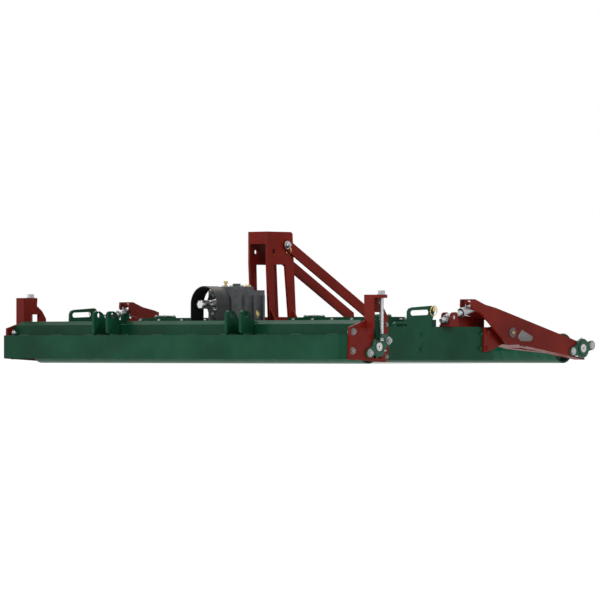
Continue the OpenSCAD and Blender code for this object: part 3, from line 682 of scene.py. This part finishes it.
tie = Piece("mast_tie", "deck", "mast_red")
for s in SIDES:
    tie.lathe(spot(42.3, 44, 394, s), -X * s, [(17, 0), (17, 4), (15.5, 6), (13, 6.4),
                                               (13, 42.5)], 32)
tie.done()

stands = Piece("standing_plates", "deck", "red_paint")
stand_bolts = Piece("standing_plate_bolts", "deck", "zinc")
STAND_X = 879
STAND_FOOT = DECK_TOP - PLATE_SUNK
for s in SIDES:
    stands.plate([(40, STAND_FOOT), (40, 156), (46, 161), (150, 171), (225, 163), (261, 165),
                  (265, 161), (265, STAND_FOOT)], 6,
                 lambda u, v, w: spot(STAND_X + w, u, v, s), 1.0)
    stands.plate([(848, 40), (STAND_X + 0.4, 40), (STAND_X + 0.4, 265), (848, 265), (842, 259),
                  (842, 46)], 6,
                 lambda u, v, w: spot(u, v, STAND_FOOT + w, s), 1.0)
    for y in (62, 152, 242):
        hex_head(stand_bolts, spot(860, y, DECK_TOP + 5.6, s), Z, 9.5, 6)
stands.done()
stand_bolts.done()

# Welds of the deck and the mast

SEAM = DECK_TOP + 1
welds = Piece("deck_welds", "deck", "green_paint", WELD, 60)
for s in SIDES:
    for x in (315, 327, 391, 403):
        bead(welds, spot(x, -522, 137, s), spot(x, -446, 137, s), 3.2)
        bead(welds, spot(x, -580, 97, s), spot(x, -523, 97, s), 3.2)
    bead(welds, spot(411, 648, 4, s), spot(411, 648, 111, s), 2.6)
    bead(welds, spot(908, 282, 4, s), spot(908, 282, 110, s), 2.6)
    stitches(welds, spot(907, -320, SEAM, s), spot(907, 276, SEAM, s))
stitches(welds, P(-900, -521, 97), P(900, -521, 97), 55, 130)
stitches(welds, P(-900, -336, SEAM), P(900, -336, SEAM), 55, 160, 2.6)
for y in (516, 558):
    stitches(welds, P(-380, y, SEAM), P(380, y, SEAM), 50, 90)
welds.done()

mast_welds = Piece("mast_welds", "deck", "mast_red", weld_steel("mast_weld", WELD_RED), 60)
for s in SIDES:
    bead(mast_welds, spot(53, -58, DECK_TOP + 11, s), spot(53, 92, DECK_TOP + 11, s), 3.2)
    bead(mast_welds, spot(42, -73, 457, s), spot(42, -73, 502, s), 2.4)
mast_welds.done()

# Plugs and breather of the gearbox

trim = Piece("gearbox_plugs", "deck", "zinc", BRASS)
hex_head(trim, P(40, GEAR_Y + 20, GEAR_TOP), Z, 9, 8, 1.5)
trim.lathe(P(-34, GEAR_Y - 26, GEAR_TOP), Z, [(8, -1), (8, 5), (5, 6), (5, 12), (8.5, 13),
                                              (8.5, 20), (6.5, 22.5)], 20)
hex_head(trim, P(88, GEAR_Y + 20, DECK_TOP + 60), X, 11, 6, 1.5)
hex_head(trim, P(-88, GEAR_Y - 15, DECK_TOP + 40), -X, 9, 6, 1.5)
trim.done()

# Splined input shaft


def splined(at_y, length, core, tip, teeth=6):
    """Rings of a splined shaft towards -Y, with its ball groove and chamfered end."""
    tooth = ((-0.30, core), (-0.24, tip), (0, tip), (0.24, tip), (0.30, core), (0.5, core))
    rings = []
    for f, shrink in ((0, 0), (0.40, 0), (0.42, 3.0), (0.50, 3.0), (0.52, 0), (0.965, 0),
                      (1.0, 1.8)):
        ring = []
        for k in range(teeth):
            for part, r in tooth:
                a = TAU * (k + part) / teeth
                rr = max(core - 1, r - shrink) / 1000
                ring.append(P(0, at_y - length * f, PTO_Z)
                            + Vector((rr * math.cos(a), 0, rr * math.sin(a))))
        rings.append(ring)
    return rings


shaft = Piece("input_shaft_splined", "input_shaft", "bright_steel")
shaft.grid(splined(-319, 83, 14.6, 17.4))
shaft.lathe(P(0, -240, PTO_Z), -Y, [(22.4, 0), (22.4, 78), (21.4, 80)], 40)
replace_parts(shaft.done(), "input_shaft")

# Bearings of the rollers, with their bolts


def bearing(piece, at, axis, depth, r_in=17.4, r_out=31):
    """The rounded housing and inner ring of a flange bearing."""
    piece.ring(at, axis, [(r_out + 4, -SUNK), (r_out + 3, depth * 0.35), (r_out, depth * 0.7),
                          (r_out - 5, depth * 0.8), (r_out - 6, depth * 0.45),
                          (r_in + 5, depth * 0.45), (r_in + 5, depth), (r_in, depth),
                          (r_in, -SUNK)], 44)


def flange_bolts(x, axle, degrees, s):
    """The places of a flange's two bolts on its slanted long axis."""
    a = math.radians(degrees)
    return [spot(x, axle[0] + k * FLANGE_BOLTS * math.cos(a),
                 axle[1] + k * FLANGE_BOLTS * math.sin(a), s) for k in (-1, 1)]


housings = Piece("front_bearing_rings", "front_carrier", "flange_green")
front = Piece("front_flange_nuts", "front_carrier", "zinc")
rear = Piece("rear_bearing_rings", "rear_arms", "zinc")
for s in SIDES:
    bearing(housings, spot(936.3, *FRONT_AXLE, s), X * s, 1.8)
    for at in flange_bolts(936.3, FRONT_AXLE, 24, s):
        nut_and_stud(front, at, X * s, 11.5, 8, 4)
    nipple(front, spot(936, FRONT_AXLE[0] + 29, FRONT_AXLE[1] - 14, s), Vector((s, 0.2, -0.1)))
    for at in flange_bolts(963, REAR_AXLE, 12, s):
        hex_head(rear, at, X * s, 11.5, 3.2, 1.2)
    nipple(rear, spot(958, REAR_AXLE[0] - 4, REAR_AXLE[1] + 36, s), Vector((0.15 * s, -0.1, 1)))
for piece in (housings, front, rear):
    piece.done()


def stub_end(piece, at, axis, r=17, h=0.9):
    """The turned end face of a stub shaft, with its chamfer and centre hole."""
    piece.ring(at, axis, [(r - 0.2, -SUNK), (r - 0.2, h * 0.4), (r - 1.2, h), (4.2, h),
                          (3.0, h * 0.35), (3.0, -SUNK)], 36)


for name, x, axle in (("front_roller", 937, FRONT_AXLE), ("rear_roller", 967, REAR_AXLE)):
    ends = Piece(name + "_stub_ends", name, "bright_steel")
    for s in SIDES:
        stub_end(ends, spot(x, *axle, s), X * s)
    ends.done()

pins = Piece("pivot_pin_ends", "deck", "zinc", BRASS)
for s in SIDES:
    nipple(pins, spot(958, *PIVOT, s), X * s)
pins.done()

# Threads of the height screws and the adjusters, and the adjusters' collars

heights = Piece("height_screw_threads", "deck", "zinc", None, 25)
for s in SIDES:
    thread(heights, spot(SCREW_X, FRONT_AXLE[0], 73, s), Z, 8, 156)
heights.done()

tilt = math.atan2(PIN_Q[1] - TRUNNION[1], PIN_Q[0] - TRUNNION[0])
run = Vector((0, math.cos(tilt), math.sin(tilt)))
rise = Vector((0, -math.sin(tilt), math.cos(tilt)))
adjust = Piece("adjuster_screw_threads", "adjuster_screws", "zinc", None, 25)
sleeves = Piece("adjuster_tube_collars", "adjuster_tubes", "zinc")
for s in SIDES:
    trunnion = spot(ADJ_X, *TRUNNION, s)
    thread(adjust, trunnion - run * 0.051, run, 9, 23)
    thread(adjust, trunnion + run * 0.032, run, 9, 70)
    pin = spot(ADJ_X, *PIN_Q, s)
    sleeves.ring(pin - run * 0.084, run, [(11.4, 0), (17.3, 0), (17.8, 0.6), (17.8, 11),
                                          (17.0, 12), (15.6, 12), (11.4, 12)], 40)
    nipple(sleeves, pin - run * 0.05 + rise * 0.0158, rise)
adjust.done()
sleeves.done()

# Arms: blank plate, cross web with its gusset, and welds

plates = Piece("arm_blank_plates", "rear_arms", "zinc", PLATE_BLANK)
outline = [(406, 116), (383, 92), (388, 80), (399, 73), (452, 71), (468, 78), (470, 90)]
cy = sum(p[0] for p in outline) / len(outline)
cz = sum(p[1] for p in outline) / len(outline)
for s in SIDES:
    plates.grid([[spot(x, cy + (y - cy) * scale, cz + (z - cz) * scale, s) for y, z in outline]
                 for scale, x in ((1.0, BAR_OUT - PLATE_SUNK), (1.0, BAR_OUT + 1.0),
                                  (0.97, BAR_OUT + 1.4))])
plates.done()

webs = Piece("arm_webs", "rear_arms", "red_paint")
WEB_OUT = BAR_IN + PLATE_SUNK
for s in SIDES:
    webs.plate([(805, 60), (WEB_OUT, 60), (WEB_OUT, 112), (872, 108), (820, 84), (805, 72)], 6,
               lambda u, v, w: spot(u, 388 + w, v, s), 1.0)
    webs.plate([(914, 57), (WEB_OUT, 57), (WEB_OUT, 91), (940, 91)], 8,
               lambda u, v, w: spot(u, 424 + w, v, s), 1.0)
webs.done()

arm_welds = Piece("arm_welds", "rear_arms", "red_paint", weld_steel("arm_weld", WELD_RED), 60)
for s in SIDES:
    stitches(arm_welds, spot(944, 392, 57, s), spot(944, 560, 40, s), 40, 30, 2.6)
    for x in (944, 902):
        bead(arm_welds, spot(x, 114, 226, s), spot(x, 130, 226, s), 2.4)
arm_welds.done()

# Ground cutting edges on the blades, nicked a little

BLADE_TURN = math.radians(-14)
BLADE_LOW = 9.0
EDGE_FROM, EDGE_LENGTH, EDGE_STEPS = 250, 52, 14
for name, (cx, cy) in ROTORS.items():
    edge = Piece("blade_edge_" + name, "rotor_" + name, "blade_steel", GROUND, 20)
    for a in (BLADE_TURN, BLADE_TURN + math.pi):
        rad = Vector((math.cos(a), math.sin(a), 0))
        tan = Vector((-math.sin(a), math.cos(a), 0))
        rings = []
        for k in range(EDGE_STEPS + 1):
            r = EDGE_FROM + EDGE_LENGTH * k / EDGE_STEPS
            nick = random.uniform(-0.35, 0.1)
            section = ((19.2 + nick, -0.35), (32.7 + nick * 0.3, 6.9), (32.2, 7.2), (18.8, 0.2))
            rings.append([P(cx, cy, 0) + (rad * r + tan * t + Z * (BLADE_LOW + z)) / 1000
                          for t, z in section])
        edge.grid(rings)
    edge.done()

# Spring clips through the linkage pins, at the mast's sides
clips = Piece("spring_clips", "deck", "zinc", BRASS)
for s in SIDES:
    clips.wire([spot(63 + 13 * math.sin(a), 37, 430 + 15 * math.cos(a), s)
                for a in circle(24) + [TAU]], 1.6)
clips.done()

# A linch pin with its ring, kept in the rear leg of each side plate's loop
linch = Piece("linch_pins", "deck", "zinc", BRASS)
for s in SIDES:
    linch.lathe(spot(903, -75, 192, s), X * s, [(3.2, 0), (4.4, 2), (4.4, 16), (7.5, 16.5),
                                                (8.2, 18), (8.2, 23), (6.5, 25)])
    linch.wire([spot(922.5 + 2.5 * math.cos(a), -75 + 19 * math.sin(a), 187 + 19 * math.cos(a), s)
                for a in circle(28) + [TAU]], 1.8)
linch.done()

# Floor, light and camera


def pale_rays(tree):
    """1 for the rays that meet the pale background itself: camera, glossy, transmission."""
    path = tree.nodes.new("ShaderNodeLightPath")
    shown = path.outputs["Is Camera Ray"]
    for kind in ("Is Glossy Ray", "Is Transmission Ray"):
        either = tree.nodes.new("ShaderNodeMath")
        either.operation = "MAXIMUM"
        tree.links.new(shown, either.inputs[0])
        tree.links.new(path.outputs[kind], either.inputs[1])
        shown = either.outputs[0]
    return shown


def mix_shader(tree, fac, a, b):
    n = tree.nodes.new("ShaderNodeMixShader")
    for socket, value in zip(n.inputs, (fac, a, b)):
        tree.links.new(value, socket)
    return n.outputs[0]


def floor_material():
    """A pale floor that keeps the shadow and glows up to white with the distance."""
    s = Shader("pale_floor")
    s.tree.nodes.remove(s.bsdf)
    diffuse = s.new("ShaderNodeBsdfDiffuse")
    tone = s.mix(s.range(s.noise(3, 2), 0.3, 0.7), (0.50, 0.50, 0.50), (0.52, 0.52, 0.52))
    s.link(tone, diffuse.inputs["Color"])
    glow = s.new("ShaderNodeEmission")
    s.link(s.range(s.length(s.coord), 1.4, 6.5, 0.57, 0.82), glow.inputs["Strength"])
    dark = s.new("ShaderNodeEmission")
    dark.inputs["Strength"].default_value = 0.0
    both = s.new("ShaderNodeAddShader")
    s.link(diffuse.outputs[0], both.inputs[0])
    s.link(mix_shader(s.tree, pale_rays(s.tree), dark.outputs[0], glow.outputs[0]),
           both.inputs[1])
    # from below the floor is open, so that the underside can be looked at
    clear = s.new("ShaderNodeBsdfTransparent")
    s.link(mix_shader(s.tree, s.geo.outputs["Backfacing"], both.outputs[0], clear.outputs[0]),
           s.out.inputs[0])
    return s.mat


bpy.ops.mesh.primitive_plane_add(size=80, location=(0, 0, 0))
floor = bpy.context.object
floor.name = "floor"
floor.data.materials.append(floor_material())
floor.visible_diffuse = False
floor.visible_shadow = False


def background(tree, color, strength):
    n = tree.nodes.new("ShaderNodeBackground")
    n.inputs["Color"].default_value = (*color, 1)
    n.inputs["Strength"].default_value = strength
    return n.outputs[0]


world = bpy.data.worlds.new("studio")
bpy.context.scene.world = world
world.use_nodes = True
sky = world.node_tree
sky.nodes.clear()
soft = background(sky, (0.93, 0.96, 1.0), 0.42)
white = background(sky, (1, 1, 1), 1.0)
sky.links.new(mix_shader(sky, pale_rays(sky), soft, white),
              sky.nodes.new("ShaderNodeOutputWorld").inputs[0])


def lamp(name, at, aim, size, power):
    """A rectangular lamp. Places and sizes are metres."""
    data = bpy.data.lights.new(name, "AREA")
    data.shape = "RECTANGLE"
    data.size, data.size_y = size
    data.energy = power
    obj = bpy.data.objects.new(name, data)
    bpy.context.scene.collection.objects.link(obj)
    obj.location = at
    obj.rotation_euler = (Vector(aim) - Vector(at)).to_track_quat("-Z", "Y").to_euler()


lamp("key", (0.6, -4.4, 3.4), (0, 0, 0.2), (2.8, 1.2), 125)
lamp("side", (4.6, 0.2, 2.2), (0.3, 0, 0.2), (1.6, 1.6), 66)
lamp("top", (-1.5, 1.5, 4.2), (0, 0, 0.2), (3.0, 3.0), 85)
lamp("front_box", (-4.2, -4.9, 0.9), (0, -0.5, 0.15), (3.2, 1.1), 26)
lamp("rear_box", (4.4, 4.6, 0.9), (0.6, 0, 0.15), (3.0, 1.1), 5)
lamp("under", (1.6, -2.2, -3.4), (0, 0, 0.1), (2.4, 2.4), 120)

# The photograph looks up from below the floor, so the camera stands at floor
# level on the photograph's azimuth, far off and with a long lens. In metres.
AZIMUTH = math.radians(-47.1)
DISTANCE = 19.9
EYE = 0.06
AIM = Vector((0.023, 0.021, 0.25))
FOCAL_PX = 5015
FRAME_PX = 600
SENSOR = 36
camera_data = bpy.data.cameras.new("camera")
camera = bpy.data.objects.new("camera", camera_data)
bpy.context.scene.collection.objects.link(camera)
bpy.context.scene.camera = camera
camera_data.sensor_width = SENSOR
camera_data.lens = FOCAL_PX / FRAME_PX * SENSOR
camera_data.clip_end = 200
camera.location = Vector((DISTANCE * math.cos(AZIMUTH), DISTANCE * math.sin(AZIMUTH), EYE))
camera.rotation_euler = (AIM - camera.location).to_track_quat("-Z", "Y").to_euler()

bpy.context.scene.view_settings.view_transform = "Standard"
